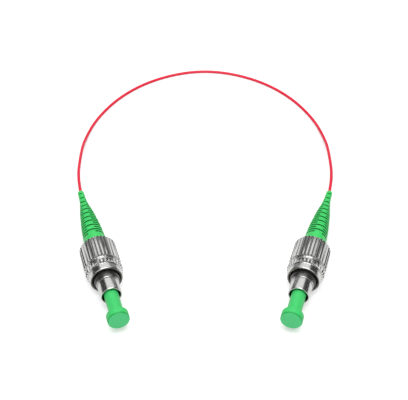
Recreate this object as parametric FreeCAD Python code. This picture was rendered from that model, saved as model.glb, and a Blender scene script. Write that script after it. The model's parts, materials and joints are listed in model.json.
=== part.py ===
import FreeCAD
import Part
import math
import os

# Fibre patch cord: a buffered fibre with a keyed, threaded connector on each end.
# Millimetres, +Z up. Both connectors lie on their nuts and point towards -Y.
# The origin is on the floor, in the middle of the connectors' footprint.
# Along a connector, places are measured forwards from the back face of its nut.

# Lay-out of the two connectors
nut_spacing = 58.5
toe_in = 16.0

# Clearances
running_gap = 0.1
side_gap = 0.3
seat_gap = 0.02
slide_gap = 0.05
cap_gap = 0.03
cord_gap = 0.1
floor_gap = 0.05

# Coupling nut: two knurled bands with a turned groove between them, and a smooth collar
nut_length = 12.2
knurl_diameter = 10.0
knurl_depth = 0.35
knurl_ridges = 33
knurl_band = 7.4
band_groove = 1.3
grip_ring = 1.3
collar_diameter = 8.9
thread_bore = 7.7
nut_wall = 1.6
nut_travel = 5.5

# Plug frame
barrel_diameter = 6.1
barrel_bore = 4.7
sleeve_diameter = 5.7
sleeve_bore = 4.95
sleeve_reach = 6.0
sleeve_depth = 5.8
stop_lip = 0.8
stop_lip_bore = 3.3
lug_width = 1.2
lug_length = 1.7

# Alignment key ring
key_ring_wall = 0.33
key_ring_reach = 0.4
key_width = 2.0
key_length = 1.1

# Stop ring
stop_flange_diameter = 6.9
stop_flange = 0.7
spigot_length = 5.0
neck_diameter = 4.2
neck_length = 2.6
stop_bore = 2.2

# Ferrule
ferrule_diameter = 2.5
ferrule_reach = 3.0
ferrule_angle = 8.0
ferrule_chamfer = 0.4
ferrule_seat = 2.2
ferrule_travel = 1.2

# Ferrule flange
flange_sides = 6
flange_width = 2.4
tail_diameter = 2.7
tail_length = 2.2

# Ferrule spring
spring_wire = 0.35
spring_mean_diameter = 3.7
spring_turns = 4
spring_sides = 8

# Boot: its round section is kept to sixteen flats, which stay within 0.06 mm of the circle
# The outline gives shares of the length from the nut, and of the base diameter there
boot_length = 24.6
boot_base_diameter = 6.2
boot_outline = ((0.114, 1.0), (0.346, 0.897), (0.598, 0.655), (0.756, 0.413), (0.854, 0.319), (1.0, 0.284))
boot_sides = 16
boot_turn = 12.0
boot_rows = 20
boot_first_row = 4.0
boot_tip_land = 1.2
boot_slot = 0.42
boot_web_share = 0.36
boot_least_web = 1.44

# Dust cap
cap_reach = 8.95
cap_head_diameter = 5.7
cap_face_diameter = 5.5
cap_head = 2.3
cap_shoulder = 0.35
cap_neck_diameter = 3.8
cap_insertion = 4.6
cap_tip_room = 1.2

# Cord: a plain six-sided tube, in bores of the same section
cord_diameter = 0.9
cord_sides = 6
cord_grip = 4.0
cord_lead = 5.3
arc_share = 0.45

# Places along the connector
grip_back = knurl_band + band_groove
grip_front = grip_back + grip_ring
stop_flange_front = -side_gap
stop_flange_back = stop_flange_front - stop_flange
spigot_front = stop_flange_front + spigot_length
neck_back = stop_flange_back - neck_length
key_ring_back = nut_wall + nut_travel
key_ring_front = nut_length + key_ring_reach
barrel_front = key_ring_front + key_length + side_gap
sleeve_front = nut_length + sleeve_reach
lip_front = sleeve_front - sleeve_depth
lip_back = lip_front - stop_lip
flange_front = lip_back - seat_gap
flange_back = flange_front - flange_width
tail_back = flange_back - tail_length
ferrule_back = flange_front - ferrule_seat
ferrule_front = sleeve_front + ferrule_reach
cap_back = sleeve_front - cap_insertion
cap_front = sleeve_front + cap_reach
cap_head_back = cap_front - cap_head
cord_end = ferrule_back - ferrule_travel - side_gap
cord_bore = (cord_diameter + 2 * cord_gap) / math.cos(math.pi / cord_sides)
flange_diameter = barrel_bore - 2 * slide_gap
key_ring_diameter = barrel_diameter + 2 * (seat_gap + key_ring_wall)

CENTRE = FreeCAD.Vector()
UP = FreeCAD.Vector(0, 0, 1)
SIDES = {"left": -1, "right": 1}


def turned(outline):
    """Solid of revolution about the connector axis from (diameter, place) corners."""
    points = [FreeCAD.Vector(diameter / 2, 0, place) for diameter, place in outline]
    face = Part.Face(Part.makePolygon(points + points[:1]))
    return face.revolve(CENTRE, UP, 360)


def disc(diameter, start, end):
    """Cylinder on the connector axis between two places."""
    return Part.makeCylinder(diameter / 2, end - start, FreeCAD.Vector(0, 0, start))


def block(x_range, y_range, z_range):
    """Box between two limits along each direction."""
    low, high = zip(x_range, y_range, z_range)
    size = [end - start for start, end in zip(low, high)]
    return Part.makeBox(*size, FreeCAD.Vector(*low))


def polygon(radii, place):
    """Closed outline round the connector axis with one corner for each radius."""
    corners = []
    for i, radius in enumerate(radii):
        angle = 2 * math.pi * (i + 0.5) / len(radii)
        corners.append(FreeCAD.Vector(radius * math.cos(angle), radius * math.sin(angle), place))
    return Part.makePolygon(corners + corners[:1])


def prism(radii, start, end):
    """Straight solid over such an outline between two places."""
    return Part.Face(polygon(radii, start)).extrude(UP * (end - start))


def cord_hole(start, end):
    """Solid of the hole that the cord goes through, between two places."""
    return prism([cord_bore / 2] * cord_sides, start, end)


def around(shape, count):
    """Copies of a shape at even turns about the connector axis."""
    return [shape.rotated(CENTRE, UP, 360 * i / count) for i in range(count)]


def coupling_nut():
    """Nut with straight knurling, a threaded bore and a back wall that runs on the frame."""
    crest = knurl_diameter / 2
    ridges = [crest, crest - knurl_depth] * knurl_ridges
    crest_to_floor = -90 - 360 / knurl_ridges / 4
    bands = [prism(ridges, 0, knurl_band), prism(ridges, grip_back, grip_front)]
    bands = [band.rotated(CENTRE, UP, crest_to_floor) for band in bands]
    body = disc(collar_diameter, 0, nut_length).fuse(bands)
    hole = disc(barrel_diameter + 2 * running_gap, 0, nut_wall)
    return body.cut([hole, disc(thread_bore, nut_wall, nut_length)])


def flange_lugs():
    """Two lugs behind the frame's stop lip, which keep the ferrule flange from turning."""
    flat = flange_diameter / 2 * math.cos(math.pi / flange_sides)
    wall_middle = (barrel_bore + barrel_diameter) / 4
    lug = block(
        (flat + slide_gap, wall_middle),
        (-lug_width / 2, lug_width / 2),
        (lip_back - lug_length, lip_back),
    )
    return around(lug, 2)


def plug_frame():
    """Turned body: barrel, narrower front sleeve and inner stop lip."""
    outline = [
        (barrel_bore, stop_flange_front),
        (barrel_diameter, stop_flange_front),
        (barrel_diameter, barrel_front),
        (sleeve_diameter, barrel_front),
        (sleeve_diameter, sleeve_front),
        (sleeve_bore, sleeve_front),
        (sleeve_bore, lip_front),
        (stop_lip_bore, lip_front),
        (stop_lip_bore, lip_back),
        (barrel_bore, lip_back),
    ]
    return turned(outline).fuse(flange_lugs())


def alignment_key_ring():
    """Ring on the frame's barrel, with the key below it that enters the adapter's slot."""
    bore = disc(barrel_diameter + 2 * seat_gap, key_ring_back, barrel_front)
    key = block(
        (-key_width / 2, key_width / 2),
        (-key_ring_diameter / 2, 0),
        (key_ring_front - key_length, key_ring_front + key_length),
    )
    key = key.common(disc(key_ring_diameter, key_ring_back, barrel_front))
    ring = disc(key_ring_diameter, key_ring_back, key_ring_front)
    return ring.fuse(key).cut(bore).removeSplitter()


def stop_ring():
    """Rear body: spigot screwed into the frame, flange behind the nut, neck for the boot."""
    spigot_diameter = barrel_bore - 2 * seat_gap
    outline = [
        (stop_bore, neck_back),
        (neck_diameter, neck_back),
        (neck_diameter, stop_flange_back),
        (stop_flange_diameter, stop_flange_back),
        (stop_flange_diameter, stop_flange_front),
        (spigot_diameter, stop_flange_front),
        (spigot_diameter, spigot_front),
        (stop_bore, spigot_front),
    ]
    return turned(outline)


def ferrule():
    """Ceramic cylinder with a chamfered, obliquely polished front end."""
    outline = [
        (0, ferrule_back),
        (ferrule_diameter, ferrule_back),
        (ferrule_diameter, ferrule_front - ferrule_chamfer),
        (ferrule_diameter - 2 * ferrule_chamfer, ferrule_front),
        (0, ferrule_front),
    ]
    drop = math.tan(math.radians(ferrule_angle)) * (ferrule_diameter / 2 - ferrule_chamfer)
    reach = ferrule_diameter
    polish = block((-reach, reach), (-reach, reach), (0, reach))
    polish.rotate(CENTRE, FreeCAD.Vector(1, 0, 0), ferrule_angle)
    polish.translate(UP * (ferrule_front - drop))
    return turned(outline).cut(polish)


def ferrule_flange():
    """Holder of the ferrule: six-sided flange and the tail that goes through the spring."""
    body = prism([flange_diameter / 2] * flange_sides, flange_back, flange_front)
    body = body.fuse(disc(tail_diameter, tail_back, flange_back))
    socket = disc(ferrule_diameter + 2 * seat_gap, ferrule_back, flange_front)
    return body.cut([socket, cord_hole(tail_back, ferrule_back)])


def ferrule_spring():
    """Compression spring between the stop ring and the ferrule flange."""
    start = spigot_front + spring_wire / 2 + running_gap
    rise = flange_back - spigot_front - spring_wire - 2 * running_gap
    steps = spring_turns * spring_sides
    path = []
    for i in range(steps + 1):
        angle = 2 * math.pi * i / spring_sides
        radius = spring_mean_diameter / 2
        place = start + rise * i / steps
        path.append(FreeCAD.Vector(radius * math.cos(angle), radius * math.sin(angle), place))
    half = spring_wire / 2
    section = Part.makePlane(spring_wire, spring_wire, path[0] - FreeCAD.Vector(half, 0, half),
                             FreeCAD.Vector(0, -1, 0), FreeCAD.Vector(1, 0, 0))
    return Part.makePolygon(path).makePipeShell([section.OuterWire], True, False, 1)


def boot_diameter(depth):
    """Diameter of the boot at a depth behind the nut."""
    stations = [(share * boot_length, size * boot_base_diameter) for share, size in boot_outline]
    for (start, thick), (end, thin) in zip(stations, stations[1:]):
        if depth <= end:
            return thick + (thin - thick) * max(0, depth - start) / (end - start)
    return thin


def boot_slots():
    """Pairs of slots in rows along the boot; every other row is turned by a quarter."""
    reach = boot_base_diameter
    last_row = boot_length - boot_tip_land - boot_slot
    slots = []
    for row in range(boot_rows):
        depth = boot_first_row + (last_row - boot_first_row) * row / (boot_rows - 1)
        web = max(boot_web_share * boot_diameter(depth), boot_least_web) / 2
        slot = block((web, reach), (-reach, reach), (-depth - boot_slot, -depth))
        first_turn = 90 * (row % 2)
        slots.append(slot.rotated(CENTRE, UP, first_turn))
        slots.append(slot.rotated(CENTRE, UP, first_turn + 180))
    return slots


def boot():
    """Slotted strain relief pushed over the stop ring's neck."""
    depths = [-stop_flange_back] + [share * boot_length for share, size in boot_outline]
    rings = [polygon([boot_diameter(depth) / 2] * boot_sides, -depth) for depth in depths]
    body = Part.makeLoft(rings, True, True)
    grip = disc(neck_diameter + 2 * seat_gap, neck_back - seat_gap, stop_flange_back)
    return body.cut([grip, cord_hole(-boot_length, neck_back)] + boot_slots())


def dust_cap():
    """Soft cap: hollow neck over the ferrule and a round head to pull it by."""
    bore = ferrule_diameter + 2 * cap_gap
    floor = ferrule_front + cap_tip_room
    outline = [
        (bore, cap_back),
        (cap_neck_diameter, cap_back),
        (cap_neck_diameter, cap_head_back),
        (cap_head_diameter, cap_head_back + cap_shoulder),
        (cap_face_diameter, cap_front),
        (0, cap_front),
        (0, floor),
        (bore, floor),
    ]
    return turned(outline)


CONNECTOR = {
    "coupling_nut": coupling_nut,
    "plug_frame": plug_frame,
    "alignment_key_ring": alignment_key_ring,
    "stop_ring": stop_ring,
    "ferrule": ferrule,
    "ferrule_flange": ferrule_flange,
    "spring": ferrule_spring,
    "boot": boot,
    "dust_cap": dust_cap,
}


def connector_placement(side, setback):
    """Lays a connector on its nut, facing -Y and turned towards the other one."""
    lie_down = FreeCAD.Rotation(FreeCAD.Vector(1, 0, 0), 90)
    turn_in = FreeCAD.Rotation(UP, -side * toe_in)
    place = FreeCAD.Vector(side * nut_spacing / 2, setback, knurl_diameter / 2)
    return FreeCAD.Placement(place, turn_in.multiply(lie_down))


def placed(piece, placement):
    """Copy of a piece moved from the connector's own frame to where it lies."""
    copy = piece.copy()
    copy.Placement = placement.multiply(copy.Placement)
    return copy


def footprint_setback(pieces):
    """Shift along Y that centres the connectors' footprint on the origin."""
    lying = [placed(piece, connector_placement(1, 0)) for piece in pieces]
    box = Part.makeCompound(lying).BoundBox
    return -(box.YMin + box.YMax) / 2


def cord_route(setback):
    """Points of the cord from boot to boot: out of the left tip, down, round and back."""
    left = connector_placement(-1, setback)
    floor = cord_diameter / 2 + floor_gap
    half = [
        left.multVec(UP * (cord_grip - boot_length)),
        left.multVec(UP * (-cord_lead - boot_length)),
        FreeCAD.Vector(-38.0, 46.1, 3.2),
        FreeCAD.Vector(-37.7, 55.7, 1.2),
        FreeCAD.Vector(-35.0, 67.3, floor),
        FreeCAD.Vector(-28.3, 79.4, floor),
        FreeCAD.Vector(-18.5, 88.8, floor),
        FreeCAD.Vector(-6.0, 94.3, floor),
    ]
    return half + [FreeCAD.Vector(-point.x, point.y, point.z) for point in reversed(half)]


def rounded_path(route):
    """Edges and radii: straight runs joined by tangent arcs as large as the runs allow."""
    edges = []
    radii = []
    last = route[0]
    for before, corner, after in zip(route, route[1:], route[2:]):
        back = (before - corner).normalize()
        ahead = (after - corner).normalize()
        half_turn = (math.pi - back.getAngle(ahead)) / 2
        run = min(before.distanceToPoint(corner), after.distanceToPoint(corner))
        radius = arc_share * run / math.tan(half_turn)
        inward = (back + ahead).normalize()
        start = corner + back * (arc_share * run)
        end = corner + ahead * (arc_share * run)
        middle = corner + inward * (radius / math.cos(half_turn) - radius)
        edges.append(Part.LineSegment(last, start).toShape())
        edges.append(Part.Arc(start, middle, end).toShape())
        radii.append(radius)
        last = end
    edges.append(Part.LineSegment(last, route[-1]).toShape())
    return edges, radii


def cord(setback):
    """Buffered fibre from inside one connector, through both boots, to inside the other."""
    route = cord_route(setback)
    runs, radii = rounded_path(route)
    held = [connector_placement(side, setback).multVec(UP * cord_end) for side in (-1, 1)]
    left_end = Part.LineSegment(held[0], route[0]).toShape()
    right_end = Part.LineSegment(route[-1], held[1]).toShape()
    path = Part.Wire([left_end, *runs, right_end])
    section = polygon([cord_diameter / 2] * cord_sides, 0)
    section.Placement = connector_placement(-1, setback)
    section.translate(held[0] - section.CenterOfMass)
    tube = path.makePipeShell([section], True, False)
    expected = Part.Face(section).Area * path.Length
    print("cord radii", [round(radius, 1) for radius in radii])
    print("cord length", round(sum(run.Length for run in runs), 1), "whole", round(path.Length, 1))
    print("cord volume", round(tube.Volume, 3), "section times length", round(expected, 3))
    return tube


def main():
    os.makedirs("parts", exist_ok=True)
    pieces = {name: make() for name, make in CONNECTOR.items()}
    setback = footprint_setback(pieces.values())
    shapes = {"cord": cord(setback)}
    for side_name, side in SIDES.items():
        placement = connector_placement(side, setback)
        turned_boot = pieces["boot"].rotated(CENTRE, UP, -side * boot_turn)
        for name, piece in {**pieces, "boot": turned_boot}.items():
            shapes[f"{side_name}_{name}"] = placed(piece, placement)
    for node, shape in shapes.items():
        shape.exportStep(f"parts/{node}.step")


main()
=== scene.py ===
import json
import math

import bmesh
import bpy
from bpy.props import FloatProperty, FloatVectorProperty, IntProperty, PointerProperty
from bpy.types import Operator, Panel, PropertyGroup
from mathutils import Matrix, Vector


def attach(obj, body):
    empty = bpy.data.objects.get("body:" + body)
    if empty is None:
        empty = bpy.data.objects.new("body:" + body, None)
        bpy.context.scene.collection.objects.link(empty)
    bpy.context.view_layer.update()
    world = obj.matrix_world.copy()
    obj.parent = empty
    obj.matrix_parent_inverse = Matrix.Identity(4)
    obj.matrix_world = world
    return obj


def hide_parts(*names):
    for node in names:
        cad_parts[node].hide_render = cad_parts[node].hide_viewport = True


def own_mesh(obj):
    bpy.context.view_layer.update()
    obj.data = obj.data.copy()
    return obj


bl_info = {
    "name": "Fibre patch cord",
    "version": (1, 0, 0),
    "blender": (4, 5, 0),
    "location": "3D View > Sidebar > Patch cord",
    "description": "Dresses a short fibre patch cord: nuts, sleeves, slotted boots, caps and the cord",
    "category": "Object",
}

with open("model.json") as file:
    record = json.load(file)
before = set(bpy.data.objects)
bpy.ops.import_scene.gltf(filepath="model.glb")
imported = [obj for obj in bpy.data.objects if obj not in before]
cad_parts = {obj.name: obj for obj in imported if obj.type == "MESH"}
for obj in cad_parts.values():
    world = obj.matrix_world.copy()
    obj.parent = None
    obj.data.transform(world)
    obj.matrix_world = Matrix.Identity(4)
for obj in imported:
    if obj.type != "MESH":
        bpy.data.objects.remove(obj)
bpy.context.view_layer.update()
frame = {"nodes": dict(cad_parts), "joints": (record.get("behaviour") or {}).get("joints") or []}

MM = 0.001
WHITE = (1.0, 1.0, 1.0)
SIDES = ("left", "right")
JOINTS = {joint["name"]: joint for joint in frame["joints"]}
# The joint of a nut sits this far in front of the nut's back face, where all places start
NUT_JOINT_PLACE = 6.0 * MM
# Points of a seam that are closer than this become one
SEAM = 0.0004 * MM
# Radii that differ by less than this are the same
NEAR = 0.001 * MM
# New pieces of a connector keep their place in its own frame, in millimetres, for their finishes
OWN_PLACE = "own_place"
# Knurls and slots also keep how far a point lies below the crest or the outside, in millimetres
SUNK = "sunk"
# Outline of the boot behind the nut's back face: shares of its length and of its base diameter
BOOT_OUTLINE = (
    (0.0, 1.0), (0.114, 1.0), (0.346, 0.897), (0.598, 0.655), (0.756, 0.413), (0.854, 0.319), (1.0, 0.284),
)
# Rounded edges of the boot: shares of the rounding along the axis and towards it
SMALL_ROUND = ((0.0, 1.0), (0.3, 0.3), (1.0, 0.0))
TIP_ROUND = ((1.0, 0.0), (0.6, 0.08), (0.3, 0.3), (0.08, 0.6), (0.0, 1.0))


def size(name, description, millimetres):
    """A length that a user may change."""
    return FloatProperty(
        name=name, description=description, default=millimetres * MM, min=0.0, precision=5, unit="LENGTH"
    )


def tilt(name, description, degrees):
    """An angle that a user may change."""
    return FloatProperty(name=name, description=description, default=math.radians(degrees), subtype="ANGLE")


def colour(name, description, default):
    """A colour that a user may change."""
    return FloatVectorProperty(
        name=name, description=description, default=default, min=0.0, max=1.0, subtype="COLOR"
    )


def count(name, description, default):
    """A number of like things."""
    return IntProperty(name=name, description=description, default=default, min=1)


class NutSettings(PropertyGroup):
    length: size("Length", "Coupling nut from its back face to its mouth", 12.2)
    knurl_diameter: size("Knurl diameter", "Across the crests of the ridges", 10.0)
    knurl_depth: size("Knurl depth", "From crest to valley", 0.32)
    ridges: count("Ridges", "Ridges around each knurled band", 33)
    band: size("Grip band", "Length of the long knurled band", 7.4)
    groove: size("Groove", "Turned groove between the two bands", 1.3)
    ring: size("Grip ring", "Length of the short knurled band", 1.3)
    collar_diameter: size("Collar diameter", "Smooth collar and bottom of the groove", 8.9)
    bore: size("Thread bore", "Mean diameter of the thread", 7.7)
    back_wall: size("Back wall", "Wall that runs on the frame's barrel", 1.6)
    back_hole: size("Back hole", "Hole in the back wall", 6.3)
    pitch: size("Thread pitch", "Rise of the thread in one turn", 0.75)
    thread_height: size("Thread height", "From the root to the crest of the thread", 0.34)
    metal: colour("Plating", "Bright plating of the nut", (0.7, 0.7, 0.69))


class BodySettings(PropertyGroup):
    barrel_diameter: size("Barrel diameter", "Frame inside the nut", 6.1)
    barrel_bore: size("Barrel bore", "Room for the ferrule flange and the spring", 4.7)
    barrel_back: size("Barrel back", "Distance of the barrel's end behind the nut's back face", 0.3)
    barrel_front: size("Barrel front", "Where the barrel steps down to the sleeve", 14.0)
    sleeve_diameter: size("Sleeve diameter", "Front sleeve that enters the adapter", 5.7)
    sleeve_bore: size("Sleeve bore", "Open bore around the ferrule", 4.95)
    relief: size("Relief", "Depth of the fine groove in front of the barrel's step", 0.08)
    sleeve_front: size("Sleeve front", "Front rim of the sleeve", 18.2)
    lip_front: size("Lip front", "Floor of the sleeve's bore", 12.4)
    lip_back: size("Lip back", "Stop of the ferrule flange", 11.6)
    lip_bore: size("Lip bore", "Hole that the ferrule goes through", 3.3)
    lug_width: size("Lug width", "Lugs that keep the ferrule flange from turning", 1.2)
    lug_length: size("Lug length", "Reach of the lugs behind the lip", 1.7)
    lug_spread: size("Lug spread", "Clear width between the two lugs", 4.1)
    key_ring_diameter: size("Key ring diameter", "Outside of the alignment key ring", 6.8)
    key_ring_back: size("Key ring back", "Back face of the alignment key ring", 7.1)
    key_ring_front: size("Key ring front", "Front face of the alignment key ring", 12.6)
    key_width: size("Key width", "Width of the key", 2.0)
    key_length: size("Key length", "Reach of the key in front of its ring", 1.1)
    flange_diameter: size("Stop flange", "Flange behind the nut", 6.9)
    neck_diameter: size("Neck", "Neck that carries the boot", 4.2)
    spigot_front: size("Spigot front", "Front end of the stop ring inside the barrel", 4.7)
    fibre_bore: size("Fibre bore", "Hole through the stop ring", 2.2)
    metal: colour("Sleeve metal", "Plating of the frame and its rings", (0.7, 0.7, 0.69))
    inner_metal: colour("Inner metal", "Machined metal of the inner pieces", (0.6, 0.6, 0.59))


class FerruleSettings(PropertyGroup):
    diameter: size("Diameter", "Ceramic ferrule", 2.5)
    back: size("Back", "Back end in its flange", 9.38)
    front: size("Front", "Foremost point of the ferrule", 21.2)
    chamfer: size("Chamfer", "Cone behind the end face", 0.4)
    angle: tilt("End angle", "Slant of the polished end", 8)
    ceramic: colour("Ceramic", "White ceramic", (0.86, 0.86, 0.82))


class SpringSettings(PropertyGroup):
    wire: size("Wire", "Thickness of the wire", 0.35)
    diameter: size("Diameter", "Coil, from the middle of the wire", 3.7)
    turns: count("Turns", "Turns of the coil", 4)
    back: size("Back", "End on the stop ring", 4.8)
    front: size("Front", "End on the ferrule flange", 9.08)
    steel: colour("Steel", "Drawn wire", (0.6, 0.6, 0.59))


class BootSettings(PropertyGroup):
    length: size("Length", "From the nut's back face to the tip", 24.6)
    front: size("Front", "Distance of the boot's front face behind the nut's back face", 1.0)
    base_diameter: size("Base diameter", "Thick end", 6.2)
    turn: tilt("Turn", "Turn of the slots about the axis", 12)
    rows: count("Rows", "Rows of slots", 20)
    first_row: size("First row", "Distance of the first slots behind the nut's back face", 4.0)
    tip_land: size("Tip land", "Plain end behind the last slots", 1.2)
    slot: size("Slot", "Width of a slot", 0.46)
    web_share: FloatProperty(
        name="Web", description="Material left between two slots, as a share of the diameter",
        default=0.36, min=0.0, max=1.0, subtype="FACTOR",
    )
    least_web: size("Least web", "Material left between two slots at the tip", 1.44)
    lip: size("Lip", "Rounding of the slots' edges", 0.1)
    bore: size("Bore", "Hole for the cord", 1.1)
    seat_diameter: size("Seat diameter", "Hole that sits on the neck of the stop ring", 4.24)
    grip_depth: size("Grip depth", "How far back the neck of the stop ring reaches", 3.6)
    rubber: colour("Boot colour", "Green elastomer", (0.055, 0.72, 0.155))


class CapSettings(PropertyGroup):
    back: size("Back", "Back end inside the sleeve", 13.6)
    front: size("Front", "Flat face of the head", 27.2)
    bore: size("Bore", "Hole over the ferrule", 2.56)
    bore_floor: size("Bore floor", "End of the hole", 22.4)
    neck_diameter: size("Neck diameter", "Neck at the sleeve's mouth", 3.86)
    waist_diameter: size("Waist diameter", "Neck behind the head", 3.74)
    head_diameter: size("Head diameter", "Widest part of the head", 5.84)
    face_diameter: size("Face diameter", "Flat face of the head", 5.72)
    head: size("Head", "Length of the head with its shoulder", 2.55)
    plastic: colour("Cap colour", "Green soft plastic", (0.06, 0.7, 0.175))


class CordSettings(PropertyGroup):
    diameter: size("Diameter", "Buffered fibre", 0.9)
    grip: size("Grip", "Length of the cord inside each boot's tip", 4.0)
    lead: size("Lead", "Straight length out of each boot", 5.3)
    jacket: colour("Cord colour", "Red buffer", (0.95, 0.018, 0.06))


class StageSettings(PropertyGroup):
    floor: colour("Floor", "Pale floor", (0.82, 0.82, 0.82))
    distance: size("Camera distance", "From the camera to the point it looks at", 300.0)
    elevation: tilt("Camera elevation", "Above the horizon", 41)
    aim: size("Camera aim", "Point on the floor that the camera looks at, behind the origin", 27.63)
    view_angle: tilt("View angle", "Across the picture", 22.66)


class PatchCordSettings(PropertyGroup):
    nut: PointerProperty(type=NutSettings)
    body: PointerProperty(type=BodySettings)
    ferrule: PointerProperty(type=FerruleSettings)
    spring: PointerProperty(type=SpringSettings)
    boot: PointerProperty(type=BootSettings)
    cap: PointerProperty(type=CapSettings)
    cord: PointerProperty(type=CordSettings)
    stage: PointerProperty(type=StageSettings)


class Value:
    """A number in a shader: Python's operators on it add Math nodes."""

    def __init__(self, finish, socket):
        self.finish = finish
        self.socket = socket

    def math(self, operation, first, second):
        return self.finish.node("ShaderNodeMath", {"operation": operation}, {0: first, 1: second})

    def __add__(self, other):
        return self.math("ADD", self, other)

    def __radd__(self, other):
        return self.math("ADD", other, self)

    def __sub__(self, other):
        return self.math("SUBTRACT", self, other)

    def __rsub__(self, other):
        return self.math("SUBTRACT", other, self)

    def __mul__(self, other):
        return self.math("MULTIPLY", self, other)

    def __rmul__(self, other):
        return self.math("MULTIPLY", other, self)


class Finish:
    """The nodes of a material or of the world, written as expressions on its Values."""

    def __init__(self, owner):
        owner.use_nodes = True
        self.owner = owner
        self.tree = owner.node_tree
        self.tree.nodes.clear()

    def node(self, kind, settings=None, inputs=None, output=0):
        """Adds a node: its settings first, then the values or links of its sockets."""
        made = self.tree.nodes.new(kind)
        for name, value in (settings or {}).items():
            setattr(made, name, value)
        for name, value in (inputs or {}).items():
            if isinstance(value, Value):
                self.tree.links.new(value.socket, made.inputs[name])
            else:
                made.inputs[name].default_value = value
        return Value(self, made.outputs[output]) if made.outputs else None

    def own_place(self):
        """Place in the connector's own frame, in millimetres."""
        return self.node("ShaderNodeAttribute", {"attribute_name": OWN_PLACE}, output="Vector")

    def object_place(self):
        """Place in the object's frame, in millimetres."""
        place = self.node("ShaderNodeTexCoord", output="Object")
        return self.stretched(place, (1 / MM, 1 / MM, 1 / MM))

    def stretched(self, place, factors):
        """A place with each direction scaled on its own."""
        return self.node("ShaderNodeVectorMath", {"operation": "MULTIPLY"}, {0: place, 1: factors})

    def along(self, place):
        """Place along the connector's axis."""
        return self.node("ShaderNodeSeparateXYZ", inputs={0: place}, output="Z")

    def distance(self, place):
        """Distance from the middle of the frame that the place is in."""
        return self.node("ShaderNodeVectorMath", {"operation": "LENGTH"}, {0: place}, output="Value")

    def away(self, place):
        """Distance from the connector's axis."""
        return self.distance(self.stretched(place, (1, 1, 0)))

    def noise(self, place, scale, detail=3.0):
        """Soft noise from 0 to 1 with the given number of swells to a millimetre."""
        inputs = {"Vector": place, "Scale": scale, "Detail": detail}
        return self.node("ShaderNodeTexNoise", inputs=inputs)

    def lines(self, along, scale, detail=3.0):
        """Noise that changes along the axis only, as the marks of a lathe do."""
        inputs = {"W": along, "Scale": scale, "Detail": detail}
        return self.node("ShaderNodeTexNoise", {"noise_dimensions": "1D"}, inputs)

    def mix(self, share, first, second):
        """Colour between two colours."""
        settings = {"data_type": "RGBA"}
        return self.node("ShaderNodeMix", settings, {0: share, 6: first, 7: second}, output=2)

    def share(self, value, start, end):
        """Share from 0 to 1 of a value between two limits."""
        inputs = {"Value": value, "From Min": start, "From Max": end}
        return self.node("ShaderNodeMapRange", {"clamp": True}, inputs)

    def sunk(self, start, end):
        """Share from 0 to 1 of how deep a point lies between two depths, in millimetres."""
        depth = self.node("ShaderNodeAttribute", {"attribute_name": SUNK}, output="Fac")
        return self.share(depth, start, end)

    def ray(self, kind):
        """1 for light paths of this kind, and 0 for others."""
        return self.node("ShaderNodeLightPath", output=kind)

    def bump(self, height, strength, distance):
        """Normal of a surface with this relief."""
        inputs = {"Height": height, "Strength": strength, "Distance": distance}
        return self.node("ShaderNodeBump", inputs=inputs)

    def plating(self, place, rgb):
        """Lathe marks, handling haze, bright colour and finely pitted normal that turned metal shares."""
        marks = self.lines(self.along(place), scale=6.0)
        haze = self.noise(place, scale=0.5, detail=4.0)
        pits = self.noise(place, scale=9.0, detail=2.0)
        bright = self.mix(haze, shade(rgb, 0.95), shade(rgb, 1.04))
        normal = self.bump(0.7 * marks + 0.3 * pits, strength=0.1, distance=0.003 * MM)
        return marks, haze, bright, normal

    def surface(self, **sockets):
        """Ends the material in a Principled shader with these sockets and returns it."""
        named = {name.replace("_", " ").title(): value for name, value in sockets.items()}
        shader = self.node("ShaderNodeBsdfPrincipled", inputs=named)
        self.node("ShaderNodeOutputMaterial", inputs={"Surface": shader})
        return self.owner


def new_finish(name):
    """An empty material to write a finish in."""
    return Finish(bpy.data.materials.new(name))


def shade(rgb, factor):
    """A colour made darker or lighter, with full alpha."""
    return tuple(min(1.0, channel * factor) for channel in rgb) + (1.0,)


def nut_plating(nut):
    """Bright plating: glossy on the ridges and duller between them, with painted shade darkening the
    valleys and a painted dark brown reflection on the cut front face.
    """
    finish = new_finish("nut_bright_nickel")
    place = finish.own_place()
    marks, haze, bright, normal = finish.plating(place, nut.metal)
    depth = nut.knurl_depth / MM
    collar = nut.collar_diameter / 2 / MM
    front = nut.length / MM
    # Painted reflection: the cut front face is coloured dark brown for the dark surround it mirrors; it is
    # also rougher
    painted_reflection_dark = (0.12, 0.104, 0.09, 1)
    painted_reflection_light = (0.19, 0.168, 0.15, 1)
    # Painted shade: the deep part of each valley is darkened towards 0.12 of the plating, where the ridges
    # would shade it; the valleys are also rougher
    valley = finish.sunk(0.4 * depth, depth)
    knurled = finish.share(finish.away(place), collar + 0.02, collar + 0.1)
    cut_face = finish.share(finish.along(place), front - 0.02, front - 0.005)
    dull_and_shaded = finish.mix(0.9 * valley, bright, shade(nut.metal, 0.12))
    return finish.surface(
        base_color=finish.mix(cut_face, dull_and_shaded, finish.mix(haze, painted_reflection_dark, painted_reflection_light)),
        metallic=1.0,
        roughness=0.2 - 0.06 * knurled + 0.05 * haze + 0.03 * marks + 0.1 * valley + 0.1 * cut_face,
        normal=normal,
    )


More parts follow.
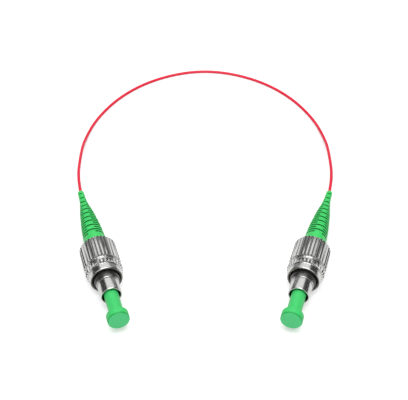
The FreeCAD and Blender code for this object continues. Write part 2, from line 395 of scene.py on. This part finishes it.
def frame_plating(body):
    """Bright plating on the sleeve's outside; behind the step, in the bores and in the fine groove it is
    rougher, as turned, and painted darker as shade.
    """
    finish = new_finish("sleeve_nickel")
    place = finish.own_place()
    along = finish.along(place)
    marks, haze, bright, normal = finish.plating(place, body.metal)
    step = body.barrel_front / MM
    groove_front = step + 2 * body.relief / MM
    wall = body.sleeve_bore / 2 / MM
    past_groove = finish.share(along, groove_front - 0.06, groove_front)
    groove = finish.share(along, step - 0.02, step) - past_groove
    outside = finish.share(finish.away(place), wall + 0.02, wall + 0.1)
    # Painted shade: where polished is low (barrel and key ring behind the step, the bores, the fine groove)
    # the plating is darkened to 0.34; these parts are also rougher
    polished = finish.share(along, step - 0.22, step - 0.14) * outside - 0.9 * groove
    return finish.surface(
        base_color=finish.mix(polished, shade(body.metal, 0.34), bright),
        metallic=1.0,
        roughness=0.3 - 0.12 * polished + 0.07 * haze + 0.04 * marks,
        normal=normal,
    )


def stop_ring_metal(rgb):
    """Turned metal of the stop ring, with faint lathe marks and fine pits."""
    finish = new_finish("stop_ring_machined")
    marks, haze, bright, normal = finish.plating(finish.own_place(), rgb)
    return finish.surface(
        base_color=bright,
        metallic=1.0,
        roughness=0.24 + 0.07 * haze + 0.04 * marks,
        normal=normal,
    )


def flange_metal(rgb):
    """Ferrule flanges as they leave the lathe, duller than the plating."""
    finish = new_finish("flange_machined")
    place = finish.object_place()
    grain = finish.noise(place, scale=1.1, detail=4.0)
    pits = finish.noise(place, scale=11.0, detail=2.0)
    return finish.surface(
        base_color=finish.mix(grain, shade(rgb, 0.85), shade(rgb, 1.1)),
        metallic=1.0,
        roughness=0.26 + 0.14 * grain,
        normal=finish.bump(pits, strength=0.2, distance=0.004 * MM),
    )


def boot_rubber(rgb):
    """Satin elastomer with a fine moulded grain, painted darker inside the slots as shade."""
    finish = new_finish("boot_green_rubber")
    place = finish.own_place()
    clouds = finish.noise(place, scale=0.35)
    grain = finish.noise(place, scale=7.0)
    outside = finish.mix(clouds, shade(rgb, 0.92), shade(rgb, 1.07))
    return finish.surface(
        # Painted shade: the slots darken with their depth to a fifth of the green
        base_color=finish.mix(finish.sunk(0.0, 0.16), outside, shade(rgb, 0.2)),
        roughness=0.3 + 0.1 * grain,
        normal=finish.bump(grain, strength=0.3, distance=0.01 * MM),
    )


def cap_plastic(cap):
    """Soft moulded plastic with a deeper edge round a paler, frosted face."""
    finish = new_finish("cap_green_plastic")
    place = finish.own_place()
    along = finish.along(place)
    front = cap.front / MM
    edge_deep = (0.012, 0.45, 0.083, 1)
    face_dark = (0.073, 0.73, 0.235, 1)
    face_light = (0.09, 0.77, 0.265, 1)
    clouds = finish.noise(place, scale=0.3)
    grain = finish.noise(place, scale=5.0)
    face = finish.share(along, front - 0.04, front - 0.01)
    edge = finish.share(along, front - 0.6, front - 0.3)
    sides = finish.mix(clouds, shade(cap.plastic, 0.94), shade(cap.plastic, 1.05))
    sides = finish.mix(edge, sides, edge_deep)
    return finish.surface(
        base_color=finish.mix(face, sides, finish.mix(clouds, face_dark, face_light)),
        roughness=0.42 + 0.1 * grain,
        normal=finish.bump(grain, strength=0.25, distance=0.01 * MM),
    )


def white_ceramic(rgb):
    """Ground and polished ceramic."""
    finish = new_finish("ferrule_white_ceramic")
    place = finish.own_place()
    clouds = finish.noise(place, scale=0.6, detail=2.0)
    marks = finish.lines(finish.along(place), scale=9.0, detail=2.0)
    return finish.surface(
        base_color=finish.mix(clouds, shade(rgb, 0.96), shade(rgb, 1.03)),
        roughness=0.16 + 0.08 * marks,
        normal=finish.bump(marks, strength=0.1, distance=0.002 * MM),
    )


def cord_buffer(rgb):
    """Satin red buffer of the fibre."""
    finish = new_finish("cord_red_buffer")
    place = finish.object_place()
    clouds = finish.noise(place, scale=0.12)
    grain = finish.noise(place, scale=6.0, detail=2.0)
    return finish.surface(
        base_color=finish.mix(clouds, shade(rgb, 0.9), shade(rgb, 1.12)),
        roughness=0.34 + 0.12 * grain,
        normal=finish.bump(grain, strength=0.15, distance=0.008 * MM),
    )


def spring_wire(rgb):
    """Drawn wire with fine dark streaks."""
    finish = new_finish("spring_drawn_wire")
    drawn = finish.stretched(finish.object_place(), (6.0, 6.0, 1.5))
    streaks = finish.noise(drawn, scale=1.0)
    return finish.surface(
        base_color=finish.mix(streaks, shade(rgb, 0.75), shade(rgb, 1.1)),
        metallic=1.0,
        roughness=0.24 + 0.12 * streaks,
        normal=finish.bump(streaks, strength=0.15, distance=0.004 * MM),
    )


def pale_floor(rgb):
    """Floor that looks white to the eye and pale in the metal, and keeps the shadow."""
    finish = new_finish("pale_floor")
    place = finish.object_place()
    mottle = finish.noise(place, scale=0.02, detail=2.0)
    tint = finish.mix(mottle, shade(rgb, 0.99), shade(rgb, 1.01))
    paint = finish.node("ShaderNodeBsdfDiffuse", inputs={"Color": tint})
    camera = finish.ray("Is Camera Ray")
    # Far from the object, where less light falls, the floor grows white by itself
    far = finish.share(finish.distance(place), 250.0, 900.0)
    pale = finish.mix(camera * far, shade(WHITE, 0.45), shade(WHITE, 1.0))
    glow = finish.node("ShaderNodeEmission", inputs={"Color": pale})
    both = finish.node("ShaderNodeAddShader", inputs={0: paint, 1: glow})
    in_metal = 0.25
    mirrored = finish.ray("Is Glossy Ray") + finish.ray("Is Transmission Ray")
    seen = finish.node("ShaderNodeMixShader", inputs={0: camera + in_metal * mirrored, 1: paint, 2: both})
    finish.node("ShaderNodeOutputMaterial", inputs={"Surface": seen})
    return finish.owner


def connector_matrix(side):
    """Places a connector: local Z is its axis and points forward, local Y is up."""
    joint = JOINTS[f"{side}_nut_spin"]
    forward = Vector(joint["axis"]).normalized()
    up = Vector((0, 0, 1))
    across = up.cross(forward)
    turn = Matrix((across, up, forward)).transposed().to_4x4()
    return Matrix.Translation(Vector(joint["pos_m"]) - forward * NUT_JOINT_PLACE) @ turn


def add_object(name, data):
    """Puts new data into the scene as an object at the origin."""
    made = bpy.data.objects.new(name, data)
    bpy.context.scene.collection.objects.link(made)
    return made


def add_mesh(name, bm, finish):
    """Makes an object of a finished bmesh."""
    mesh = bpy.data.meshes.new(name)
    bm.to_mesh(mesh)
    bm.free()
    mesh.materials.append(finish)
    return add_object(name, mesh)


def settle(bm, sharp_above=math.radians(40)):
    """Closes seams, turns the faces outwards and marks the edges that stay crisp."""
    bmesh.ops.remove_doubles(bm, verts=bm.verts, dist=SEAM)
    bmesh.ops.recalc_face_normals(bm, faces=bm.faces)
    for face in bm.faces:
        face.smooth = True
    for edge in bm.edges:
        edge.smooth = edge.calc_face_angle(0.0) < sharp_above


def place_piece(bm, side, part, body, finish):
    """Makes a piece of a mesh in the connector's frame, and stands it for that side's node."""
    settle(bm)
    own = bm.verts.layers.float_vector.new(OWN_PLACE)
    for vert in bm.verts:
        vert[own] = vert.co / MM
    bmesh.ops.transform(bm, matrix=connector_matrix(side), verts=bm.verts)
    node = f"{side}_{part}"
    piece = add_mesh(f"{node}_look", bm, finish)
    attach(piece, body)
    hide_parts(node)
    return piece


def profile(bm, corners):
    """Closed outline beside the axis from (diameter, place, rounding) corners, rounded by bevels."""
    verts = [bm.verts.new((diameter / 2, 0, place)) for diameter, place, _ in corners]
    bm.faces.new(verts)
    for vert, (_, _, rounding) in zip(verts, corners):
        if rounding:
            bmesh.ops.bevel(
                bm, geom=[vert], offset=rounding, segments=4, profile=0.5, affect="VERTICES", material=-1
            )
    bmesh.ops.delete(bm, geom=bm.faces[:], context="FACES_ONLY")
    on_axis = [edge for edge in bm.edges if all(vert.co.x == 0 for vert in edge.verts)]
    bmesh.ops.delete(bm, geom=on_axis, context="EDGES")


def turn_round(bm, steps):
    """Spins the outline into a solid of revolution."""
    bmesh.ops.spin(
        bm, geom=bm.verts[:] + bm.edges[:], cent=(0, 0, 0), axis=(0, 0, 1), dvec=(0, 0, 0),
        angle=2 * math.pi, steps=steps, use_merge=True,
    )


def turned(corners, steps=96):
    """Mesh of a turned piece."""
    bm = bmesh.new()
    profile(bm, corners)
    turn_round(bm, steps)
    return bm


def wave(turns):
    """Triangle wave from -1 to 1."""
    return 4 * abs(turns % 1.0 - 0.5) - 1


def cut_knurl(bm, nut):
    """Sinks sharp valleys between the flat-topped ridges of both knurled bands, a crest at the bottom."""
    crest_share = 1 / 3
    valley = nut.knurl_diameter / 2 - nut.knurl_depth
    sunk = bm.verts.layers.float.new(SUNK)
    for vert in bm.verts:
        radius = vert.co.xy.length
        if radius > valley - NEAR:
            turns = math.atan2(vert.co.x, -vert.co.y) / (2 * math.pi)
            beside = abs((nut.ridges * turns + 0.5) % 1.0 - 0.5) * 2
            drop = max(0.0, beside - crest_share) / (1 - crest_share)
            vert[sunk] = nut.knurl_depth * drop / MM
            vert.co.xy *= 1 - (radius - valley) * drop / radius


def cut_thread(bm, nut, back, front):
    """Winds a thread into the bore between two places, shallower over its first and last turn."""
    for vert in bm.verts:
        radius = vert.co.xy.length
        if abs(radius - nut.bore / 2) < NEAR and back < vert.co.z < front:
            turn = math.atan2(vert.co.y, vert.co.x) / (2 * math.pi)
            share = min(1.0, (vert.co.z - back) / nut.pitch, (front - vert.co.z) / nut.pitch)
            depth = nut.thread_height / 2 * wave(vert.co.z / nut.pitch - turn) * share
            vert.co.xy *= 1 + depth / radius


def nut_mesh(nut):
    """Coupling nut with two knurled bands, a groove, a smooth collar and a threaded bore."""
    points_in_ridge = 12
    rings_in_pitch = 6
    crest = nut.knurl_diameter
    valley = crest - 2 * nut.knurl_depth
    collar = nut.collar_diameter
    ring_back = nut.band + nut.groove
    ring_front = ring_back + nut.ring
    slope = 0.05 * MM
    bead = 0.14 * MM
    mouth = 0.1 * MM
    rim = 0.2 * MM
    hole_round = 0.1 * MM
    crest_round = 0.03 * MM
    edge_round = 0.06 * MM
    rim_round = 0.04 * MM
    mouth_round = 0.03 * MM
    bm = bmesh.new()
    profile(bm, [
        (nut.back_hole, 0.0, hole_round),
        (valley, 0.0, 0.0),
        (crest, slope, crest_round),
        (crest, nut.band - slope, crest_round),
        (valley, nut.band, 0.0),
        (collar, nut.band, 0.0),
        (collar, ring_back, 0.0),
        (valley, ring_back, 0.0),
        (crest, ring_back + bead, edge_round),
        (crest, ring_front - bead, edge_round),
        (valley, ring_front, 0.0),
        (collar, ring_front, 0.0),
        (collar, nut.length - rim, edge_round),
        (collar - 2 * rim, nut.length, rim_round),
        (nut.bore + 2 * mouth, nut.length, mouth_round),
        (nut.bore, nut.length - mouth, 0.0),
        (nut.bore, nut.back_wall, 0.0),
        (nut.back_hole, nut.back_wall, hole_round),
    ])
    bore = [e for e in bm.edges if all(abs(v.co.x - nut.bore / 2) < NEAR for v in e.verts)]
    bmesh.ops.subdivide_edges(bm, edges=bore, cuts=round(nut.length / nut.pitch * rings_in_pitch))
    turn_round(bm, nut.ridges * points_in_ridge)
    cut_knurl(bm, nut)
    cut_thread(bm, nut, nut.back_wall + nut.pitch, nut.length - mouth)
    return bm


def frame_mesh(body):
    """Plug frame: barrel, front sleeve with a rounded rim, stop lip and its two lugs."""
    inner_round = 0.05 * MM
    back_round = 0.1 * MM
    step_round = 0.16 * MM
    rim_round = 0.2 * MM
    mouth_round = 0.12 * MM
    bm = turned([
        (body.barrel_bore, -body.barrel_back, inner_round),
        (body.barrel_diameter, -body.barrel_back, back_round),
        (body.barrel_diameter, body.barrel_front, step_round),
        (body.sleeve_diameter - 2 * body.relief, body.barrel_front, 0.0),
        (body.sleeve_diameter - 2 * body.relief, body.barrel_front + body.relief, 0.0),
        (body.sleeve_diameter, body.barrel_front + 2 * body.relief, 0.0),
        (body.sleeve_diameter, body.sleeve_front, rim_round),
        (body.sleeve_bore, body.sleeve_front, mouth_round),
        (body.sleeve_bore, body.lip_front, inner_round),
        (body.lip_bore, body.lip_front, inner_round),
        (body.lip_bore, body.lip_back, inner_round),
        (body.barrel_bore, body.lip_back, 0.0),
    ], steps=128)
    inner = body.lug_spread / 2
    outer = (body.barrel_bore + body.barrel_diameter) / 4
    for sign in (-1, 1):
        middle = Vector((sign * (inner + outer) / 2, 0, body.lip_back - body.lug_length / 2))
        extent = Matrix.Diagonal((outer - inner, body.lug_width, body.lug_length, 1.0))
        bmesh.ops.create_cube(bm, size=1.0, matrix=Matrix.Translation(middle) @ extent)
    return bm


def key_ring_mesh(body):
    """Alignment ring with the key that stands out below its front face."""
    play = 0.04 * MM
    back_round = 0.1 * MM
    key_round = 0.12 * MM
    bm = turned([
        (body.barrel_diameter + play, body.key_ring_back, 0.0),
        (body.key_ring_diameter, body.key_ring_back, back_round),
        (body.key_ring_diameter, body.key_ring_front, 0.0),
        (body.barrel_diameter + play, body.key_ring_front, 0.0),
    ], steps=120)
    settle(bm)
    straight_ahead = 0.99
    half_key = math.asin(body.key_width / body.key_ring_diameter)
    down = Vector((0, -1))
    front = [
        face for face in bm.faces
        if face.normal.z > straight_ahead and face.calc_center_median().xy.angle(down) < half_key
    ]
    grown = bmesh.ops.extrude_face_region(bm, geom=front)["geom"]
    bmesh.ops.delete(bm, geom=front, context="FACES")
    verts = [part for part in grown if isinstance(part, bmesh.types.BMVert)]
    bmesh.ops.translate(bm, verts=verts, vec=(0, 0, body.key_length))
    faces = [part for part in grown if isinstance(part, bmesh.types.BMFace)]
    rim = {edge for face in faces for edge in face.edges if sum(f in faces for f in edge.link_faces) == 1}
    bmesh.ops.bevel(
        bm, geom=list(rim), offset=key_round, segments=3, profile=0.5, affect="EDGES", material=-1
    )
    return bm


def stop_ring_mesh(body, boot):
    """Rear body: neck under the boot, flange behind the nut and the spigot in the frame."""
    play = 0.04 * MM
    spigot = body.barrel_bore - play
    end_round = 0.1 * MM
    neck_round = 0.15 * MM
    flange_round = 0.12 * MM
    return turned([
        (body.fibre_bore, -boot.grip_depth, end_round),
        (body.neck_diameter, -boot.grip_depth, neck_round),
        (body.neck_diameter, -boot.front, 0.0),
        (body.flange_diameter, -boot.front, flange_round),
        (body.flange_diameter, -body.barrel_back, flange_round),
        (spigot, -body.barrel_back, 0.0),
        (spigot, body.spigot_front, end_round),
        (body.fibre_bore, body.spigot_front, end_round),
    ])


def ferrule_mesh(ferrule):
    """Ceramic cylinder, chamfered in front and polished to a slanted end face."""
    back_round = 0.08 * MM
    shoulder_round = 0.1 * MM
    on_plane = 0.0001 * MM
    end = ferrule.diameter - 2 * ferrule.chamfer
    bm = turned([
        (0.0, ferrule.back, 0.0),
        (ferrule.diameter, ferrule.back, back_round),
        (ferrule.diameter, ferrule.front - ferrule.chamfer, shoulder_round),
        (end, ferrule.front, 0.0),
        (0.0, ferrule.front, 0.0),
    ], steps=72)
    settle(bm)
    drop = math.tan(ferrule.angle) * end / 2
    slant = Vector((0, -math.sin(ferrule.angle), math.cos(ferrule.angle)))
    cut = bmesh.ops.bisect_plane(
        bm, geom=bm.verts[:] + bm.edges[:] + bm.faces[:], plane_co=(0, 0, ferrule.front - drop),
        plane_no=slant, clear_outer=True, dist=on_plane,
    )["geom_cut"]
    bmesh.ops.edgeloop_fill(bm, edges=[part for part in cut if isinstance(part, bmesh.types.BMEdge)])
    return bm


def spring_mesh(spring):
    """Right-handed coil of round wire between the stop ring and the ferrule flange."""
    wire_sides = 12
    steps_in_turn = 32
    steps = steps_in_turn * spring.turns
    rise = spring.front - spring.back - spring.wire
    upright = Matrix.Rotation(math.pi / 2, 4, "X")
    start = Matrix.Translation((spring.diameter / 2, 0, spring.back + spring.wire / 2)) @ upright
    bm = bmesh.new()
    bmesh.ops.create_circle(bm, segments=wire_sides, radius=spring.wire / 2, matrix=start)
    bmesh.ops.spin(
        bm, geom=bm.verts[:] + bm.edges[:], cent=(0, 0, 0), axis=(0, 0, 1), dvec=(0, 0, rise / steps),
        angle=2 * math.pi * spring.turns, steps=steps,
    )
    bmesh.ops.holes_fill(bm, edges=bm.edges, sides=wire_sides)
    return bm


def boot_ring(place, outer, web, quarter_turn, floor):
    """Ring of points round the boot; with a floor radius it dips into the row's two slots."""
    points = 96
    slot_share = 2 / 3
    corner = math.acos(web / outer) if web else math.pi / 2 * slot_share
    ring = []
    for i in range(points):
        quarter, share = divmod(4 * i / points, 1.0)
        mirrored = quarter % 2 == 1
        share = 1 - share if mirrored else share
        if share < slot_share:
            angle = corner * share / slot_share
            flat = web / math.cos(angle) if web else outer
            radius = min(max(flat, floor), outer)
        else:
            angle = corner + (math.pi / 2 - corner) * (share - slot_share) / (1 - slot_share)
            radius = outer
        angle = math.pi / 2 * (quarter + 1) - angle if mirrored else math.pi / 2 * quarter + angle
        angle += quarter_turn * math.pi / 2
        ring.append(Vector((radius * math.cos(angle), radius * math.sin(angle), place)))
    first = quarter_turn * points // 4
    return ring[-first:] + ring[:-first] if first else ring


def plain_ring(depth, radius):
    """Ring of points round the boot where it has no slots."""
    return boot_ring(-depth, radius, 0.0, 0, radius)


def boot_radius(boot, depth):
    """Radius of the boot's outside, its corners eased by a mean over a short length."""
    reach = 0.8 * MM
    radii = []
    for place in (depth - reach, depth, depth + reach):
        share = min(1.0, max(0.0, place / boot.length))
        for (start, wide), (end, narrow) in zip(BOOT_OUTLINE, BOOT_OUTLINE[1:]):
            if start <= share <= end:
                width = wide + (narrow - wide) * (share - start) / (end - start)
                radii.append(boot.base_diameter / 2 * width)
                break
    return sum(radii) / len(radii)


def slot_rings(boot, row):
    """Rings of one row of slots: over its front edge, down to the web and up its back edge."""
    last_row = boot.length - boot.tip_land - boot.slot
    front = boot.first_row + (last_row - boot.first_row) * row / (boot.rows - 1)
    back = front + boot.slot
    web = max(boot.web_share * 2 * boot_radius(boot, front), boot.least_web) / 2
    steps = [(front - before * boot.lip, down * boot.lip) for before, down in reversed(SMALL_ROUND)]
    steps += [(front, None), (back, None)]
    steps += [(back + behind * boot.lip, down * boot.lip) for behind, down in SMALL_ROUND]
    rings = []
    for depth, sunk in steps:
        outer = boot_radius(boot, depth)
        floor = web if sunk is None else outer - sunk
        rings.append(boot_ring(-depth, outer, web, row % 2, floor))
    return rings


def boot_rings(boot):
    """Rings of the boot's wall from its front face, over the slots to the tip and back inside."""
    base = boot.base_diameter / 2
    tip = boot_radius(boot, boot.length)
    seat = boot.seat_diameter / 2
    hole = boot.bore / 2
    front_round = 0.15 * MM
    tip_round = 0.25 * MM
    rings = [plain_ring(boot.grip_depth, seat), plain_ring(boot.front, seat)]
    for behind, down in SMALL_ROUND:
        rings.append(plain_ring(boot.front + behind * front_round, base - down * front_round))
    for row in range(boot.rows):
        rings += slot_rings(boot, row)
    for before, down in TIP_ROUND:
        rings.append(plain_ring(boot.length - before * tip_round, tip - down * tip_round))
    return rings + [plain_ring(boot.length, hole), plain_ring(boot.grip_depth, hole)]


def skin(rings):
    """Closed wall through rings of points: each ring is extruded from the one before."""
    bm = bmesh.new()
    loop = bmesh.ops.create_circle(bm, segments=len(rings[0]), radius=1.0)["verts"]
    for vert, point in zip(loop, rings[0]):
        vert.co = point
    first = [bm.edges.get(pair) for pair in zip(loop, loop[1:] + loop[:1])]
    edges = first
    for points in rings[1:]:
        grown = bmesh.ops.extrude_edge_only(bm, edges=edges)["geom"]
        new = {part for part in grown if isinstance(part, bmesh.types.BMVert)}
        loop = [next(e.other_vert(v) for e in v.link_edges if e.other_vert(v) in new) for v in loop]
        for vert, point in zip(loop, points):
            vert.co = point
        edges = [bm.edges.get(pair) for pair in zip(loop, loop[1:] + loop[:1])]
    bmesh.ops.bridge_loops(bm, edges=first + edges)
    return bm


def boot_mesh(boot):
    """Boot whose points in the slots know how deep they lie."""
    bm = skin(boot_rings(boot))
    sunk = bm.verts.layers.float.new(SUNK)
    for vert in bm.verts:
        if boot.first_row - boot.lip < -vert.co.z < boot.length - boot.tip_land + boot.lip:
            vert[sunk] = max(0.0, boot_radius(boot, -vert.co.z) - vert.co.xy.length) / MM
    return bm


def cap_mesh(cap):
    """Dust cap: hollow, slightly tapered neck and a head with a flat face."""
    head_back = cap.front - cap.head
    lead_in = 0.3 * MM
    lead_in_length = 3.6 * MM
    shoulder = 0.35 * MM
    bore_round = 0.1 * MM
    back_round = 0.25 * MM
    waist_round = 0.2 * MM
    head_round = 0.22 * MM
    face_round = 0.2 * MM
    return turned([
        (cap.bore, cap.back, bore_round),
        (cap.neck_diameter - lead_in, cap.back, back_round),
        (cap.neck_diameter, cap.back + lead_in_length, 0.0),
        (cap.waist_diameter, head_back, waist_round),
        (cap.head_diameter, head_back + shoulder, head_round),
        (cap.face_diameter, cap.front, face_round),
        (0.0, cap.front, 0.0),
        (0.0, cap.bore_floor, 0.0),
        (cap.bore, cap.bore_floor, bore_round),
    ], steps=112)


def cord_route(cord, boot):
    """Listed points of the cord from boot to boot: out, down, round on the floor and back."""
    left = connector_matrix("left")
    # Height of the cord's middle line where it lies on the floor, in millimetres
    lying = 0.5
    half = [
        left @ Vector((0, 0, cord.grip - boot.length)),
        left @ Vector((0, 0, -cord.lead - boot.length)),
        Vector((-38.0, 46.1, 3.2)) * MM,
        Vector((-37.7, 55.7, 1.2)) * MM,
        Vector((-35.0, 67.3, lying)) * MM,
        Vector((-28.3, 79.4, lying)) * MM,
        Vector((-18.5, 88.8, lying)) * MM,
        Vector((-6.0, 94.3, lying)) * MM,
    ]
    return half + [Vector((-point.x, point.y, point.z)) for point in reversed(half)]


class PATCHCORD_OT_stage(Operator):
    """Camera, soft lamps, pale floor and world"""

    bl_idname = "patch_cord.stage"
    bl_label = "Stage"

    def execute(self, context):
        stage = context.scene.patch_cord.stage
        context.scene.view_settings.view_transform = "Standard"
        self.add_camera(context, stage)
        self.add_lamps()
        self.add_world(context)
        self.add_floor(stage)
        return {"FINISHED"}

    def add_camera(self, context, stage):
        picture_width = 408
        sideways_pixels = 1.0
        lens = bpy.data.cameras.new("camera")
        lens.sensor_width = 36.0
        lens.lens = lens.sensor_width / 2 / math.tan(stage.view_angle / 2)
        lens.shift_x = -sideways_pixels / picture_width
        lens.clip_start = 0.01
        camera = add_object("camera", lens)
        back = Vector((0, -math.cos(stage.elevation), math.sin(stage.elevation)))
        camera.location = Vector((0, stage.aim, 0)) + back * stage.distance
        camera.rotation_euler = (-back).to_track_quat("-Z", "Y").to_euler()
        context.scene.camera = camera

    def add_lamps(self):
        # Place and extent of each lamp in metres, and its power in watts
        lamps = {
            "top_softbox": ((0.0, -0.25, 1.2), (1.0, 0.8), 13.4),
            "front_card": ((0.0, -1.0, 0.95), (2.4, 1.0), 4.6),
            "back_softbox": ((0.0, 0.65, 0.83), (1.3, 0.55), 2.2),
            "back_card": ((0.0, 0.97, 0.26), (1.3, 0.5), 0.6),
        }
        for name, (place, extent, power) in lamps.items():
            light = bpy.data.lights.new(name, "AREA")
            light.shape = "RECTANGLE"
            light.size, light.size_y = extent
            light.energy = power
            lamp = add_object(name, light)
            lamp.location = place
            lamp.rotation_euler = Vector(place).to_track_quat("Z", "Y").to_euler()

    def add_world(self, context):
        dark_room = (0.05, 0.05, 0.052, 1)
        world = Finish(bpy.data.worlds.new("studio"))
        dim = world.node("ShaderNodeBackground", inputs={"Color": dark_room})
        white = world.node("ShaderNodeBackground", inputs={"Color": shade(WHITE, 1.0)})
        seen = world.node("ShaderNodeMixShader", inputs={0: world.ray("Is Camera Ray"), 1: dim, 2: white})
        world.node("ShaderNodeOutputWorld", inputs={"Surface": seen})
        context.scene.world = world.owner

    def add_floor(self, stage):
        bm = bmesh.new()
        bmesh.ops.create_grid(bm, x_segments=8, y_segments=8, size=4.0)
        add_mesh("floor", bm, pale_floor(stage.floor))


class PATCHCORD_OT_cord(Operator):
    """Buffered fibre on one smooth curve from boot to boot"""

    bl_idname = "patch_cord.cord"
    bl_label = "Cord"

    def execute(self, context):
        settings = context.scene.patch_cord
        cord = settings.cord
        route = cord_route(cord, settings.boot)
        curve = bpy.data.curves.new("cord_look", "CURVE")
        curve.dimensions = "3D"
        curve.bevel_depth = cord.diameter / 2
        curve.bevel_resolution = 6
        curve.use_fill_caps = True
        spline = curve.splines.new("NURBS")
        spline.points.add(len(route) - 1)
        for point, place in zip(spline.points, route):
            point.co = (*place, 1.0)
        spline.order_u = 3
        spline.use_endpoint_u = True
        spline.resolution_u = 24
        curve.materials.append(cord_buffer(cord.jacket))
        piece = add_object("cord_look", curve)
        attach(piece, "connectors")
        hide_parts("cord")
        return {"FINISHED"}


class PATCHCORD_OT_nuts(Operator):
    """Knurled coupling nuts with their threads"""

    bl_idname = "patch_cord.nuts"
    bl_label = "Coupling nuts"

    def execute(self, context):
        nut = context.scene.patch_cord.nut
        plating = nut_plating(nut)
        for side in SIDES:
            place_piece(nut_mesh(nut), side, "coupling_nut", f"{side}_nut", plating)
        return {"FINISHED"}


class PATCHCORD_OT_bodies(Operator):
    """Plug frames, alignment key rings and stop rings"""

    bl_idname = "patch_cord.bodies"
    bl_label = "Connector bodies"

    def execute(self, context):
        settings = context.scene.patch_cord
        body = settings.body
        plating = frame_plating(body)
        inner = stop_ring_metal(body.inner_metal)
        for side in SIDES:
            key_ring = key_ring_mesh(body)
            stop_ring = stop_ring_mesh(body, settings.boot)
            place_piece(frame_mesh(body), side, "plug_frame", "connectors", plating)
            place_piece(key_ring, side, "alignment_key_ring", "connectors", plating)
            place_piece(stop_ring, side, "stop_ring", "connectors", inner)
        return {"FINISHED"}


class PATCHCORD_OT_ferrules(Operator):
    """Ceramic ferrules, and the finish of their flanges"""

    bl_idname = "patch_cord.ferrules"
    bl_label = "Ferrules"

    def execute(self, context):
        settings = context.scene.patch_cord
        ferrule = settings.ferrule
        ceramic = white_ceramic(ferrule.ceramic)
        machined = flange_metal(settings.body.inner_metal)
        for side in SIDES:
            place_piece(ferrule_mesh(ferrule), side, "ferrule", f"{side}_ferrule_unit", ceramic)
            for material_slot in frame["nodes"][f"{side}_ferrule_flange"].material_slots:
                material_slot.material = machined
        return {"FINISHED"}


class PATCHCORD_OT_springs(Operator):
    """Springs between the stop rings and the ferrule flanges"""

    bl_idname = "patch_cord.springs"
    bl_label = "Springs"

    def execute(self, context):
        spring = context.scene.patch_cord.spring
        wire = spring_wire(spring.steel)
        for side in SIDES:
            coil = place_piece(spring_mesh(spring), side, "spring", "connectors", wire)
            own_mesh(coil)
        return {"FINISHED"}


class PATCHCORD_OT_boots(Operator):
    """Slotted strain relief boots"""

    bl_idname = "patch_cord.boots"
    bl_label = "Boots"

    def execute(self, context):
        boot = context.scene.patch_cord.boot
        rubber = boot_rubber(boot.rubber)
        for side in SIDES:
            bm = boot_mesh(boot)
            turn = boot.turn if side == "left" else -boot.turn
            bmesh.ops.rotate(bm, verts=bm.verts, matrix=Matrix.Rotation(turn, 3, "Z"))
            place_piece(bm, side, "boot", "connectors", rubber)
        return {"FINISHED"}


class PATCHCORD_OT_caps(Operator):
    """Dust caps over the ferrules"""

    bl_idname = "patch_cord.caps"
    bl_label = "Dust caps"

    def execute(self, context):
        cap = context.scene.patch_cord.cap
        plastic = cap_plastic(cap)
        for side in SIDES:
            place_piece(cap_mesh(cap), side, "dust_cap", f"{side}_cap", plastic)
        return {"FINISHED"}


OPERATORS = (
    PATCHCORD_OT_stage,
    PATCHCORD_OT_cord,
    PATCHCORD_OT_nuts,
    PATCHCORD_OT_bodies,
    PATCHCORD_OT_ferrules,
    PATCHCORD_OT_springs,
    PATCHCORD_OT_boots,
    PATCHCORD_OT_caps,
)


class PATCHCORD_PT_panel(Panel):
    """Lists the pieces and their settings"""

    bl_idname = "PATCHCORD_PT_panel"
    bl_label = "Patch cord"
    bl_space_type = "VIEW_3D"
    bl_region_type = "UI"
    bl_category = "Patch cord"

    def draw(self, context):
        settings = context.scene.patch_cord
        for operator in OPERATORS:
            self.layout.operator(operator.bl_idname)
        for group in ("stage", "cord", "nut", "body", "ferrule", "spring", "boot", "cap"):
            box = self.layout.box()
            part = getattr(settings, group)
            box.label(text=group.capitalize())
            for name in part.bl_rna.properties.keys():
                if name not in ("rna_type", "name"):
                    box.prop(part, name)


CLASSES = (
    NutSettings,
    BodySettings,
    FerruleSettings,
    SpringSettings,
    BootSettings,
    CapSettings,
    CordSettings,
    StageSettings,
    PatchCordSettings,
    *OPERATORS,
    PATCHCORD_PT_panel,
)


def register():
    for each in CLASSES:
        bpy.utils.register_class(each)
    bpy.types.Scene.patch_cord = PointerProperty(type=PatchCordSettings)


def unregister():
    del bpy.types.Scene.patch_cord
    for each in reversed(CLASSES):
        bpy.utils.unregister_class(each)


def main():
    register()
    bpy.ops.patch_cord.stage()
    bpy.ops.patch_cord.cord()
    bpy.ops.patch_cord.nuts()
    bpy.ops.patch_cord.bodies()
    bpy.ops.patch_cord.ferrules()
    bpy.ops.patch_cord.springs()
    bpy.ops.patch_cord.boots()
    bpy.ops.patch_cord.caps()


if __name__ == "__main__":
    main()
